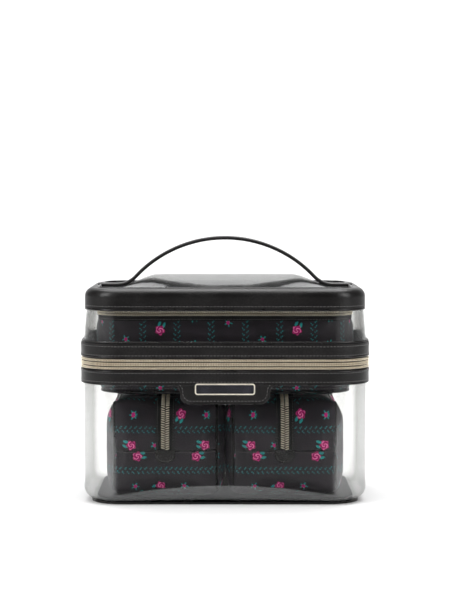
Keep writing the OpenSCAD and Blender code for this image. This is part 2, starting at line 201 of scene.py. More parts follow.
def clear_sheet(name, flat_on, slanted, glancing):
    """Flexible clear sheet. It reflects little seen straight on and more at a slant, where its
    tint also deepens, and it is faintly wavy with a few soft streaks."""
    s = Shader(name)
    at = s.place()
    waves = s.noise(s.stretched(at, (14, 14, 2.5)), 1.6, 2.0)
    streaks = s.noise(s.stretched(at, (90, 90, 5)), 1.0, 3.0)
    normal = s.bump(waves, 1.6 * MM, 0.5)
    surface = s.basic(color=(0.9, 0.91, 0.92), metal=0.94, normal=normal,
                      rough=s.ramp(streaks, 0.3, 0.8, 0.05, 0.14))
    slant = s.node("ShaderNodeLayerWeight", {"Blend": 0.5}).outputs["Facing"]
    share = s.math("ADD", s.ramp(slant, 0.022, 0.05, flat_on, slanted, False),
                   s.ramp(slant, 0.35, 1.0, 0.0, glancing - slanted, False))
    share = s.math("ADD", share, s.ramp(streaks, 0.62, 0.85, 0, 0.012))
    tint = s.mix(s.ramp(slant, 0.3, 1.0), (0.935, 0.935, 0.93, 1), (0.6, 0.6, 0.585, 1))
    see = s.node("ShaderNodeBsdfTransparent", {"Color": tint})
    both = s.node("ShaderNodeMixShader", {0: share, 1: see.outputs[0]})
    s.tree.links.new(s.bsdf.outputs[0], both.inputs[2])
    s.tree.links.new(both.outputs[0], s.out.inputs[0])
    return surface


def stitch_thread():
    s = Shader("stitch_thread")
    twist = s.noise(s.place(), 2600.0, 2.0)
    tone = s.mix(s.ramp(twist, 0.3, 0.7), (0.03, 0.029, 0.029, 1), (0.12, 0.115, 0.112, 1))
    return s.basic(color=tone, rough=s.ramp(twist, 0.3, 0.7, 0.45, 0.65), sheen=0.2,
                   normal=s.bump(twist, 0.05 * MM, 0.6))


def floral_cloth(name, leaf_rows, roses, buds):
    """Printed cloth on a charcoal ground. It reads the panel's own flat coordinates: across, then
    up, in millimetres. leaf_rows is (upright, step, start): double rows of leaf marks. roses and
    buds are lists of (step across, step up, across, up, turn) lattices."""
    s = Shader(name)
    flat = s.node("ShaderNodeVectorMath", {0: s.node("ShaderNodeUVMap", uv_map="cloth").outputs[0],
                                           3: 1000.0}, operation="SCALE").outputs[0]
    wobble = s.node("ShaderNodeTexNoise", {"Vector": flat, "Scale": 0.55, "Detail": 2.0})
    shaken = s.node("ShaderNodeVectorMath", {0: wobble.outputs["Color"], 1: (0.5, 0.5, 0.5)},
                    operation="SUBTRACT").outputs[0]
    drawn = s.node("ShaderNodeVectorMath", {0: shaken, 1: (1.7, 1.7, 0), 2: flat},
                   operation="MULTIPLY_ADD").outputs[0]
    split = s.node("ShaderNodeSeparateXYZ", {0: drawn})
    across, up = split.outputs[0], split.outputs[1]

    def near(value, step, start):
        """Signed distance to the nearest line of a repeat."""
        turned = s.math("SUBTRACT", value, start - step / 2)
        return s.math("SUBTRACT", s.math("FLOORED_MODULO", turned, step), step / 2)

    def ellipse(x, y, cx, cy, rx, ry, turn=0.0):
        dx, dy = s.math("SUBTRACT", x, cx), s.math("SUBTRACT", y, cy)
        c, n = math.cos(turn), math.sin(turn)
        u = s.math("DIVIDE", s.math("MULTIPLY_ADD", dx, c, s.math("MULTIPLY", dy, n)), rx)
        v = s.math("DIVIDE", s.math("MULTIPLY_ADD", dy, c, s.math("MULTIPLY", dx, -n)), ry)
        far = s.math("SQRT", s.math("MULTIPLY_ADD", u, u, s.math("MULTIPLY", v, v)))
        return s.ramp(far, 0.8, 1.15, 1.0, 0.0)

    def union(parts):
        total = parts[0]
        for part in parts[1:]:
            total = s.math("MAXIMUM", total, part)
        return total

    def polar(x, y):
        far = s.math("SQRT", s.math("MULTIPLY_ADD", x, x, s.math("MULTIPLY", y, y)))
        return far, s.math("ARCTAN2", y, x)

    upright, row_step, row_start = leaf_rows
    along, over = (up, across) if upright else (across, up)
    leaf_step = 4.6
    row = near(over, row_step, row_start)
    marks = union([ellipse(near(along, leaf_step, shift), row, 0, lift, 0.4, 0.85, lean)
                   for shift, lift, lean in ((0, 1.2, 0.8), (1.2, 2.5, -0.8), (2.3, -1.2, -0.8),
                                             (3.5, -2.5, 0.8))])
    petals, pinks, darks, leaves = [], [], [], []
    for step_x, step_y, x0, y0, turn in roses:
        x, y = near(across, step_x, x0), near(up, step_y, y0)
        far, angle = polar(x, y)
        edge = s.math("MULTIPLY_ADD", s.math("COSINE", s.math("MULTIPLY_ADD", angle, 5.0, turn)),
                      0.55, 4.15)
        whole = s.math("SUBTRACT", edge, far)
        petals.append(s.ramp(whole, -0.25, 0.35))
        swirl = s.math("SINE", s.math("MULTIPLY_ADD", angle, 2.0,
                                      s.math("MULTIPLY_ADD", far, 2.3, turn)))
        inside = s.ramp(whole, 0.3, 0.9)
        pinks.append(s.math("MULTIPLY", s.ramp(swirl, 0.45, 0.85), inside))
        darks.append(s.math("MULTIPLY", s.ramp(swirl, -0.5, -0.9), inside))
        leaves += [ellipse(x, y, 5.9 * math.cos(turn + a), 5.9 * math.sin(turn + a), 2.5, 1.2,
                           turn + a + tip) for a, tip in ((0.0, 0.3), (0.75, -0.6))]
    for step_x, step_y, x0, y0, turn in buds:
        x, y = near(across, step_x, x0), near(up, step_y, y0)
        far, angle = polar(x, y)
        petals.append(s.ramp(far, 1.9, 1.45))
        spikes = s.math("ABSOLUTE", s.math("COSINE", s.math("MULTIPLY_ADD", angle, 2.5, turn)))
        leaves.append(s.ramp(s.math("SUBTRACT", s.math("MULTIPLY", s.math("POWER", spikes, 2.2), 4.1),
                                    far), -0.1, 0.5))
    petals, leaves = union(petals), union(leaves)
    fine = s.noise(flat, 0.9, 2.0)
    worn = s.noise(flat, 0.045, 3.0)
    thread = math.tau / 0.5
    weave = s.math("MULTIPLY", s.math("SINE", s.math("MULTIPLY", across, thread)),
                   s.math("SINE", s.math("MULTIPLY", up, thread)))
    ground = s.mix(s.ramp(worn, 0.35, 0.7), (0.0125, 0.0095, 0.0135, 1), (0.0215, 0.0165, 0.0230, 1))
    ground = s.mix(s.math("MULTIPLY", s.ramp(fine, 0.5, 0.75), 0.3), ground, (0.041, 0.033, 0.044, 1))
    tone = s.mix(s.math("MULTIPLY", marks, 0.92), ground, (0.016, 0.25, 0.26, 1))
    tone = s.mix(leaves, tone, s.mix(fine, (0.005, 0.2, 0.2, 1), (0.03, 0.42, 0.4, 1)))
    tone = s.mix(petals, tone, s.mix(fine, (0.42, 0.006, 0.13, 1), (0.68, 0.02, 0.24, 1)))
    tone = s.mix(union(darks), tone, (0.16, 0.004, 0.06, 1))
    tone = s.mix(union(pinks), tone, (0.9, 0.24, 0.5, 1))
    folds = s.noise(flat, 0.03, 3.0, 0.6)
    normal = s.bump(weave, 0.03 * MM, 0.4, s.bump(folds, 1.4 * MM, 0.5))
    return s.basic(color=tone, rough=s.ramp(fine, 0.3, 0.7, 0.42, 0.55), normal=normal,
                   sheen=0.05, sheen_rough=0.5, specular=0.3)


def floor_paper():
    s = Shader("studio_paper")
    soft = s.noise(s.place(), 6.0, 2.0)
    tone = s.mix(soft, (0.74, 0.74, 0.74, 1), (0.77, 0.77, 0.77, 1))
    return s.basic(color=tone, rough=0.9, specular=0.05)


BAND = leather("band_leather", (0.0080, 0.0070, 0.0070), 1.0, 0.36)
TRIM = leather("trim_leather", (0.0070, 0.0060, 0.0060), 0.8, 0.26)
STRAP = leather("strap_leather", (0.012, 0.011, 0.011), 0.9, 0.38)
TAPE = woven("zip_tape_weave", (0.012, 0.012, 0.013))
LINING = woven("lining_weave", (0.014, 0.014, 0.014), 0.5)
GOLD = metal("zip_coil_gold", (0.95, 0.86, 0.68), 0.3, 0.0, 0.42)
# darker copy of the zip gold: painted shade for the main zip's cords and meshed middle, which sit between
# the teeth
GOLD_PAINTED_SHADE = metal("zip_coil_shadow", (0.24, 0.18, 0.11), 0.45, 0.0, 0.6)
SLIDER = metal("slider_gold", (0.78, 0.65, 0.45), 0.18)
PLATE = metal("plate_champagne", (0.95, 0.88, 0.74), 0.36, 0.2, 0.7)
ENAMEL = enamel()
CLEAR = clear_sheet("clear_sheet_wall", 0.005, 0.08, 0.45)
CLEAR_TOP = clear_sheet("clear_sheet_top", 0.01, 0.03, 0.42)
THREAD = stitch_thread()
CLOTH_UPPER = floral_cloth(
    "floral_cloth_upright_rows", (True, 31.2, -12.6),
    roses=[(124.8, 106, -59.3, 20.3, 0.9)],
    buds=[(124.8, 106, 3, 27, 0.4), (124.8, 106, 34.2, 12, 1.2), (124.8, 106, -28.2, 31, 2.0),
          (124.8, 106, -28.2, 8, 0.1), (124.8, 106, -59.3, -33, 1.7), (124.8, 106, 3, -30, 2.6)])
CLOTH_LOWER = floral_cloth(
    "floral_cloth_level_rows", (False, 37.4, 17.3),
    roses=[(67.2, 150, -31, 3, 2.6), (53.8, 150, -25.4, -7.2, 6.1), (76.4, 150, 14.6, 31.2, 4.0),
           (71, 150, -4.4, -35.3, 3.2)],
    buds=[(67.2, 150, -9.4, 3, 0.4), (66.5, 150, -29, 31.2, 1.1), (53.8, 150, 4, -7.2, 2.2),
          (44.8, 150, -27.5, -35.3, 0.2), (66.5, 150, 37.5, 30, 2.0)])


# ---- mesh helpers
def make(name, verts, faces, material, body, smooth=True):
    mesh = bpy.data.meshes.new(name)
    mesh.from_pydata([tuple(v) for v in verts], [], faces)
    mesh.validate()
    mesh.polygons.foreach_set("use_smooth", [smooth] * len(mesh.polygons))
    mesh.materials.append(material)
    obj = bpy.data.objects.new(name, mesh)
    bpy.context.scene.collection.objects.link(obj)
    if body:
        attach(obj, body)
    return obj


def outline(w, d, r, step=4 * MM, gap=0.0):
    """Points and outward directions round a rounded rectangle, from the middle of the back and
    anticlockwise seen from above. With a gap, it starts and ends that far apart at the back."""
    half_w, half_d = w / 2 - r, d / 2 - r
    runs = [("line", (0, d / 2), (-half_w, d / 2), (0, 1)), ("arc", (-half_w, half_d), 90),
            ("line", (-w / 2, half_d), (-w / 2, -half_d), (-1, 0)), ("arc", (-half_w, -half_d), 180),
            ("line", (-half_w, -d / 2), (half_w, -d / 2), (0, -1)), ("arc", (half_w, -half_d), 270),
            ("line", (w / 2, -half_d), (w / 2, half_d), (1, 0)), ("arc", (half_w, half_d), 0),
            ("line", (half_w, d / 2), (0, d / 2), (0, 1))]
    out = []
    for run in runs:
        if run[0] == "line":
            a, b, n = Vector(run[1]), Vector(run[2]), Vector(run[3])
            count = max(1, round((b - a).length / step))
            out += [(a.lerp(b, i / count), n) for i in range(count)]
        else:
            count = max(6, round(r * math.pi / 2 / step))
            for i in range(count):
                t = math.radians(run[2] + 90 * i / count)
                n = Vector((math.cos(t), math.sin(t)))
                out.append((Vector(run[1]) + r * n, n))
    if gap:
        out = [(p, n) for p, n in out if not (n.y > 0.999 and abs(p.x) < gap / 2)]
    return [(Vector((*p, 0)), Vector((*n, 0))) for p, n in out]


def loft(name, levels, material, body, closed=False, smooth=True):
    """A skin through rings of as many points each: a loop when closed, else with flat caps."""
    size, count = len(levels[0]), len(levels)
    verts = [p for ring in levels for p in ring]
    faces = []
    for i in range(count if closed else count - 1):
        a, b = i * size, (i + 1) % count * size
        faces += [(a + k, a + (k + 1) % size, b + (k + 1) % size, b + k) for k in range(size)]
    if not closed:
        faces += [tuple(range(size))[::-1], tuple(range((count - 1) * size, count * size))]
    obj = make(name, verts, faces, material, body, smooth)
    tidy_normals(obj)
    if not closed:
        for face in list(obj.data.polygons)[-2:]:
            face.use_smooth = False
    return obj


def sweep(name, path, section, material, body, closed=True, across=None):
    """Carries a closed section along a path of (point, outward) pairs. Section x runs outwards,
    y along `across`, which is straight up unless given per point."""
    ups = across or [UP] * len(path)
    levels = [[p + n * x + up * y for x, y in section] for (p, n), up in zip(path, ups)]
    return loft(name, levels, material, body, closed)


def tidy_normals(obj):
    bm = bmesh.new()
    bm.from_mesh(obj.data)
    bmesh.ops.recalc_face_normals(bm, faces=bm.faces)
    bm.to_mesh(obj.data)
    bm.free()


def disc(cx, cy, r, count=10):
    return [(cx + r * math.cos(math.tau * k / count), cy + r * math.sin(math.tau * k / count))
            for k in range(count)]


def soft_rect(x0, y0, x1, y1, r, per=4):
    """A rectangle with rounded corners, as points in order."""
    out = []
    for cx, cy, start in ((x1 - r, y1 - r, 0), (x0 + r, y1 - r, 90), (x0 + r, y0 + r, 180),
                          (x1 - r, y0 + r, 270)):
        for k in range(per):
            t = math.radians(start + 90 * k / (per - 1))
            out.append((cx + r * math.cos(t), cy + r * math.sin(t)))
    return out


def beads(name, places, material, body):
    """Many small capsules in one mesh. Each place is (centre, along, out, half length, width,
    height): the capsule lies along `along`, `height` thick towards `out`."""
    rings = ((-1.0, 0.25), (-0.8, 0.85), (0, 1.0), (0.8, 0.85), (1.0, 0.25))
    ring = 6
    verts, faces = [], []
    for c, along, out, half, wide, high in places:
        side_way = out.cross(along).normalized()
        base = len(verts)
        for x, r in rings:
            for k in range(ring):
                t = math.tau * k / ring
                verts.append(c + along * (x * half) + side_way * (r * wide * math.cos(t))
                             + out * (r * high * math.sin(t)))
        for i in range(len(rings) - 1):
            a = base + i * ring
            faces += [(a + k, a + (k + 1) % ring, a + ring + (k + 1) % ring, a + ring + k)
                      for k in range(ring)]
        faces.append(tuple(base + k for k in range(ring))[::-1])
        last = base + (len(rings) - 1) * ring
        faces.append(tuple(last + k for k in range(ring)))
    obj = make(name, verts, faces, material, body)
    tidy_normals(obj)
    return obj


def walk(path, step, closed=True, margin=0.0):
    """Evenly spaced (point, direction, outward) along a path of (point, outward) pairs."""
    pts = path + ([path[0]] if closed else [])
    lengths = [0.0]
    for (a, _), (b, _) in zip(pts, pts[1:]):
        lengths.append(lengths[-1] + (b - a).length)
    total = lengths[-1] - 2 * margin
    count = max(1, round(total / step))
    i = 0
    for k in range(count):
        s = margin + (k + 0.5) * total / count
        while lengths[i + 1] < s:
            i += 1
        t = (s - lengths[i]) / max(lengths[i + 1] - lengths[i], 1e-9)
        (a, na), (b, nb) = pts[i], pts[i + 1]
        yield a.lerp(b, t), (b - a).normalized(), na.lerp(nb, t).normalized()


def stitches(name, path, body, pitch=3.1, closed=True, margin=0.0, fat=0.3):
    """A row of thread stitches lying on a path, with their pitch and half width in mm."""
    places = [(p, d, n, pitch * 0.36 * MM, fat * MM, fat * 0.8 * MM)
              for p, d, n in walk(path, pitch * MM, closed, margin)]
    return beads(name, places, THREAD, body)


def raised(path, out, up=0.0):
    """The path moved outwards and up."""
    return [(p + n * out + UP * up, n) for p, n in path]


def coil(name, path, width, wire, pitch, lift):
    """A zip chain lying along a path: fat slanted turns of wire meeting in the middle."""
    places = []
    for p, d, n in walk(path, pitch, False):
        over = n.cross(d).normalized()
        for s in (1, -1):
            slant = (over * s + d * 0.3).normalized()
            places.append((p + over * (s * width * 0.26) + n * lift + d * (s * pitch / 4), slant, n,
                           width * 0.235, wire, wire * 1.3))
    return beads(name, places, GOLD, "case_body")


# ---- soft bags
def bag_skin(name, low, high, corner, top_r, foot_r, material, inset):
    """The bag before it is filled: a box with rounded corners and edges, drawn in by inset."""
    w, d = high.x - low.x - 2 * inset, high.y - low.y - 2 * inset
    centre = (low + high) / 2
    z0, z1 = low.z + inset, high.z - inset
    bends, rows = 6, 10
    quarter = [math.radians(90 * k / bends) for k in range(bends + 1)]
    rising = [(z0 + foot_r * (1 - math.cos(t)), foot_r * (1 - math.sin(t))) for t in quarter]
    rising += [(z0 + foot_r + (z1 - top_r - z0 - foot_r) * k / rows, 0) for k in range(1, rows)]
    rising += [(z1 - top_r * (1 - math.sin(t)), top_r * (1 - math.cos(t))) for t in quarter]
    levels = []
    for z, pulled in rising:
        ring = outline(w - 2 * pulled, d - 2 * pulled, max(corner - pulled, 2 * MM), 5 * MM)
        levels.append([Vector((p.x + centre.x, p.y + centre.y, z)) for p, _ in ring])
    size = min(len(ring) for ring in levels)
    return loft(name, [resample(ring, size) for ring in levels], material, "case_body")


def resample(ring, size):
    """The same closed outline with a given number of even points, from its first point."""
    pts = ring + [ring[0]]
    lengths = np.concatenate([[0], np.cumsum([(b - a).length for a, b in zip(pts, pts[1:])])])
    co = np.array([tuple(p) for p in pts])
    at = np.linspace(0, lengths[-1], size, endpoint=False)
    return [Vector([np.interp(s, lengths, co[:, axis]) for axis in range(3)]) for s in at]


def fill(obj, cap, low, high):
    """Swells the bag like a stuffed one by cloth pressure, then applies it. No point moves more
    than cap, and none leaves the room between the two corners."""
    remesh = obj.modifiers.new("remesh", "REMESH")
    remesh.mode, remesh.voxel_size = "VOXEL", 4.2 * MM
    apply_modifiers(obj)
    start = np.array([v.co[:] for v in obj.data.vertices])
    cloth = obj.modifiers.new("fill", "CLOTH")
    settings = cloth.settings
    settings.use_pressure = True
    settings.uniform_pressure_force = 4.0
    settings.effector_weights.gravity = 0
    settings.tension_stiffness = 14
    settings.bending_stiffness = 0.4
    settings.quality = 5
    scene = bpy.context.scene
    last_frame = 15
    for f in range(1, last_frame + 1):
        scene.frame_set(f)
    moved = obj.evaluated_get(bpy.context.evaluated_depsgraph_get())
    end = np.array([v.co[:] for v in moved.data.vertices])
    obj.modifiers.remove(cloth)
    scene.frame_set(1)
    shift = end - start
    far = np.linalg.norm(shift, axis=1, keepdims=True)
    shift *= np.minimum(1, cap / np.maximum(far, 1e-9))
    end = np.clip(start + shift, np.array(low), np.array(high))
    obj.data.vertices.foreach_set("co", end.ravel())
    obj.data.update()
    smooth = obj.modifiers.new("smooth", "SUBSURF")
    smooth.levels = smooth.render_levels = 1
    apply_modifiers(obj)
    obj.data.polygons.foreach_set("use_smooth", [True] * len(obj.data.polygons))


def apply_modifiers(obj):
    shaped = obj.evaluated_get(bpy.context.evaluated_depsgraph_get())
    mesh = bpy.data.meshes.new_from_object(shaped)
    obj.modifiers.clear()
    old = obj.data
    obj.data = mesh
    bpy.data.meshes.remove(old)


def lay_cloth(obj, low, high, corner):
    """Flat cloth coordinates in metres: round the walls and up, or straight down on top and
    underneath. Each face takes one of the two, as a cut panel would."""
    w, d = high.x - low.x, high.y - low.y
    centre = (low + high) / 2
    half_w, half_d = w / 2 - corner, d / 2 - corner
    quarter = math.pi / 2 * corner

    def around(x, y):
        """Distance round the wall from the middle of the front, right positive."""
        sign = 1 if x >= 0 else -1
        x = abs(x)
        if y < -half_d and x <= half_w:
            return sign * x
        if x > half_w and y < -half_d:
            return sign * (half_w + corner * math.atan2(x - half_w, -half_d - y))
        if y <= half_d and x > half_w * 0.6:
            return sign * (half_w + quarter + y + half_d)
        if x > half_w:
            return sign * (half_w + quarter + 2 * half_d + corner * math.atan2(y - half_d, x - half_w))
        return sign * (half_w + 2 * quarter + 2 * half_d + half_w - x)

    layer = obj.data.uv_layers.new(name="cloth")
    for face in obj.data.polygons:
        flat = abs(face.normal.z) > 0.75
        for k in face.loop_indices:
            v = obj.data.vertices[obj.data.loops[k].vertex_index].co - centre
            layer.data[k].uv = (v.x, v.y) if flat else (around(v.x, v.y), v.z)


def skin_tree(obj):
    bm = bmesh.new()
    bm.from_mesh(obj.data)
    tree = BVHTree.FromBMesh(bm)
    bm.free()
    return tree


def laid(tree, points, aims):
    """Where rays from points towards aims meet the bag's skin, as (point, outward)."""
    out = []
    for p, aim in zip(points, aims):
        hit, normal, _, _ = tree.ray_cast(p, (aim - p).normalized())
        if hit is not None:
            out.append((hit, normal if normal.dot(p - hit) > 0 else -normal))
    return out


def smoothed(path, closed=False):
    for _ in range(2):
        new = []
        for i, (p, n) in enumerate(path):
            before = path[i - 1] if i or closed else path[i]
            after = path[(i + 1) % len(path)] if i < len(path) - 1 or closed else path[i]
            new.append(((before[0] + p * 2 + after[0]) / 4,
                        (before[1] + n * 2 + after[1]).normalized()))
        path = new
    return path


def over_path(tree, x, low, high, foot):
    """A path on the bag at one x, up the front from the foot, over the top, down to the foot."""
    yc = (low.y + high.y) / 2
    reach, bend = 40 * MM, 12 * MM
    pts, aims = [], []
    core = (high.z - low.z) * 0.55 + low.z
    bend_z = high.z - bend
    for z in np.linspace(foot, bend_z, 14):
        pts.append(Vector((x, low.y - reach, z)))
        aims.append(Vector((x, yc, z)))
    for y_mid, start in ((low.y + bend, 180), (high.y - bend, 90)):
        for k in range(1, 10):
            t = math.radians(start - 9 * k)
            aim = Vector((x, y_mid, bend_z))
            pts.append(aim + Vector((0, math.cos(t), math.sin(t))) * reach)
            aims.append(aim)
        if start == 180:
            for y in np.linspace(low.y + bend, high.y - bend, 24):
                pts.append(Vector((x, y, high.z + reach)))
                aims.append(Vector((x, y, core)))
    for z in np.linspace(bend_z, foot, 14):
        pts.append(Vector((x, high.y + reach, z)))
        aims.append(Vector((x, yc, z)))
    return smoothed(laid(tree, pts, aims))


def crossways(path):
    """The direction across each point of a path, at right angles to it and to its outward."""
    return [n.cross(path[min(i + 1, len(path) - 1)][0] - path[max(i - 1, 0)][0]).normalized()
            for i, (_, n) in enumerate(path)]


def ribbon(name, path, width, thick, material):
    """A flat strip whose width runs along x, lying on a path over a lower bag."""
    sink = 0.3 * MM
    section = soft_rect(-sink, -width / 2, thick, width / 2, min(thick, width) * 0.35)
    return sweep(name, path, section, material, "case_body", closed=False,
                 across=crossways(path))


def shifted(path, across, out):
    """The path moved sideways across itself, and outwards."""
    return [(p + way * across + n * out, n) for (p, n), way in zip(path, crossways(path))]


def seam(name, path):
    """A closer row of thinner stitches, as along a bag's seams and zip."""
    return stitches(name, path, "case_body", pitch=2.6, closed=False, fat=0.22)


def lower_bag(tag):
    """One loaf-shaped bag with its seams, zip, tab and stitching."""
    low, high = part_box(f"{tag}_bag_sides")
    # the room that the filled bag may take up
    room_low = Vector((low.x - 1.2 * MM, low.y - 0.6 * MM, side("base_board", 2, 1) + 0.2 * MM))
    room_high = Vector((high.x + 1.2 * MM, high.y + 0.4 * MM, high.z + 0.3 * MM))
    corner = 9 * MM
    skin = bag_skin(f"{tag}_bag_cloth", low, high, corner, 8 * MM, 6 * MM, CLOTH_LOWER, 1.8 * MM)
    fill(skin, 5 * MM, room_low, room_high)
    lay_cloth(skin, low, high, corner)
    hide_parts(f"{tag}_bag_wrap", f"{tag}_bag_front", f"{tag}_bag_sides")
    tree = skin_tree(skin)
    xc = (low.x + high.x) / 2
    cord_w = 2.2 * MM
    cord_x = side(f"{tag}_bag_piping", 0, 1) - xc - cord_w / 2
    foot = low.z + 5 * MM
    for s, word in SIDES:
        path = over_path(tree, xc + s * cord_x, low, high, foot)
        cord = ribbon(f"{tag}_bag_piping_{word}", path, cord_w, cord_w / 2, TRIM)
        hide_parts(f"{tag}_bag_piping")
        seam(f"{tag}_bag_seam_stitches_{word}", shifted(path, -s * 2.3 * MM, 0.1 * MM))
    zip_low = side(f"{tag}_bag_zip", 2, 0)
    strip_low = side(f"{tag}_bag_zip_tape", 2, 0)
    path = over_path(tree, xc, low, high, strip_low)
    tape = ribbon(f"{tag}_bag_zip_strip", path, 17 * MM, 0.8 * MM, TAPE)
    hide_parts(f"{tag}_bag_zip_tape")
    for s, word in SIDES:
        seam(f"{tag}_bag_zip_stitches_{word}", shifted(path, s * 7.3 * MM, 0.85 * MM))
    path = over_path(tree, xc, low, high, zip_low)
    chain = coil(f"{tag}_bag_zip_coil", path, 8 * MM, 0.52 * MM, 2.1 * MM, 1.3 * MM)
    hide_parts(f"{tag}_bag_zip")
    # level seam across the front at the zip's foot
    xs = np.linspace(xc - cord_x, xc + cord_x, 30)
    path = laid(tree, [Vector((x, low.y - 0.04, zip_low)) for x in xs],
                [Vector((x, 0, zip_low)) for x in xs])
    sweep(f"{tag}_bag_front_seam", path, soft_rect(-0.3 * MM, -0.5 * MM, 0.35 * MM, 0.5 * MM, 0.2 * MM),
          TRIM, "case_body", closed=False)
    below = [(p - UP * 1.8 * MM + n * 0.1 * MM, n) for p, n in path]
    seam(f"{tag}_bag_front_stitches", below)
    leather_tab(tag, xc, zip_low)


def leather_tab(tag, xc, top_z):
    """The half-round tab that covers the zip's foot, with a sewn edge."""
    y = side(f"{tag}_bag_tab", 1, 0)
    half, drop = 9.25 * MM, 12.5 * MM
    bow = half * 0.75
    ring = [(-half, 0), (half, 0)]
    ring += [(half * math.cos(t), -(drop - bow) - bow * math.sin(t)) for t in np.linspace(0, math.pi, 15)]
    layers = ((1.6, 1.0), (-0.3, 1.0), (-0.8, 0.95), (-1.0, 0.86))
    levels = [[Vector((xc + x * shrink, y + depth * MM, top_z + 1 * MM + z * shrink)) for x, z in ring]
              for depth, shrink in layers]
    tab = loft(f"{tag}_bag_tab_leather", levels, TRIM, "case_body", smooth=False)
    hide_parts(f"{tag}_bag_tab")
    row = [(Vector((xc + x * 0.8, y - 1.05 * MM, top_z + 0.2 * MM + z * 0.8)), FRONT)
           for x, z in ring[2:]]
    stitches(f"{tag}_bag_tab_stitches", row, "case_body", pitch=2.0, closed=False,
             fat=0.18)


def upper_bag():
    """The wide bag on top, with its zip round the upper edge."""
    low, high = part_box("upper_bag_wall")
    # the room that the filled bag may take up
    room_low = Vector((low.x - 1 * MM, low.y - 1.2 * MM, low.z))
    room_high = Vector((high.x + 1 * MM, high.y + 1.2 * MM, high.z + 3 * MM))
    corner = 30 * MM
    skin = bag_skin("upper_bag_cloth", low, high, corner, 3 * MM, 5 * MM, CLOTH_UPPER, 1 * MM)
    fill(skin, 3 * MM, room_low, room_high)
    lay_cloth(skin, low, high, corner)
    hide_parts("upper_bag_wall", "upper_bag_top", "upper_bag_base")
    tree = skin_tree(skin)
    w, d = high.x - low.x, high.y - low.y

    def ring(z, gap=0.0):
        """A level path round the bag's wall, open at the back by the gap."""
        away = 30 * MM
        around = outline(w + 2 * away, d + 2 * away, corner + away, 4 * MM, gap)
        pts = [Vector((p.x, p.y, z)) for p, _ in around]
        aims = [p - n for p, (_, n) in zip(pts, around)]
        return smoothed([(p, Vector((n.x, n.y, 0)).normalized()) for p, n in laid(tree, pts, aims)],
                        closed=not gap)

    foot = ring(low.z + 3.2 * MM)
    cord = sweep("upper_bag_piping_cord", foot, disc(0.6 * MM, 0, 1.3 * MM), TRIM, "case_body")
    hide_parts("upper_bag_piping")
    zip_low, zip_high = side("upper_bag_zip", 2, 0), side("upper_bag_zip", 2, 1)
    strip_low = side("upper_bag_zip_tape", 2, 0)
    mid = (zip_low + zip_high) / 2
    gap = 120 * MM
    line = ring(strip_low, gap)
    strip = sweep("upper_bag_zip_strip", line, soft_rect(-0.6 * MM, 0, 0.6 * MM, zip_high - strip_low,
                                                         0.3 * MM), TAPE, "case_body",
                  closed=False)
    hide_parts("upper_bag_zip_tape")
    chain = coil("upper_bag_zip_coil", raised(line, 0, mid - strip_low), 4.4 * MM, 0.42 * MM, 1.6 * MM,
                 1.25 * MM)
    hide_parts("upper_bag_zip")
    stitches("upper_bag_strip_stitches", raised(line, 0.65 * MM, 1.3 * MM), "case_body",
             pitch=2.8, closed=False, fat=0.24)
    stitches("upper_bag_foot_stitches", raised(ring(low.z + 6.2 * MM), 0.1 * MM), "case_body",
             pitch=2.8, fat=0.22)


# ---- case: zips, bands, sheet
def teeth(name, path, body, s, out, slant, half, wide, high):
    """One row of the main zip's teeth: s is 1 above the split and -1 below it."""
    places = [(p + n * out, (UP * s + d * slant).normalized(), n, half, wide, high)
              for p, d, n in walk(path, 1.5 * MM, False)]
    beads(name, places, GOLD, body)


def main_zip():
    """Tape with three ridges: a toothed row on each half and the meshed middle between them."""
    gap = 170 * MM
    line = outline(CASE_W, CASE_D, CORNER_R, 2.5 * MM, gap)
    row_z, mesh_z, row_r = 3.55 * MM, 0.82 * MM, 1.15 * MM

    for word, body, s in (("lower", "case_body", -1), ("upper", "lid", 1)):
        low, high = (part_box(f"main_zip_{word}")[k].z for k in (0, 1))
        tape = sweep(f"main_zip_{word}_tape", line, soft_rect(0, low, 1.3 * MM, high, 0.3 * MM), TAPE,
                     body, closed=False)
        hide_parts(f"main_zip_{word}")
        path = raised(line, 0, SPLIT_Z + s * row_z)
        # cord under the teeth in the darker gold: painted shade
        sweep(f"main_zip_{word}_cord", path, disc(1.45 * MM, 0, row_r * 0.92, 12), GOLD_PAINTED_SHADE, body,
              closed=False)
        teeth(f"main_zip_{word}_teeth", path, body, s, 1.55 * MM, 0.5, 1.35 * MM, 0.36 * MM, 1.2 * MM)
        path = raised(line, 0, SPLIT_Z + s * mesh_z)
        # meshed middle in the darker gold: painted shade
        sweep(f"main_zip_{word}_mesh", path, soft_rect(0.9 * MM, -0.75 * MM, 2.45 * MM, 0.75 * MM,
                                                       0.6 * MM), GOLD_PAINTED_SHADE, body, closed=False)
        teeth(f"main_zip_{word}_heads", path, body, s, 1.9 * MM, -0.3, 0.8 * MM, 0.38 * MM, 0.8 * MM)


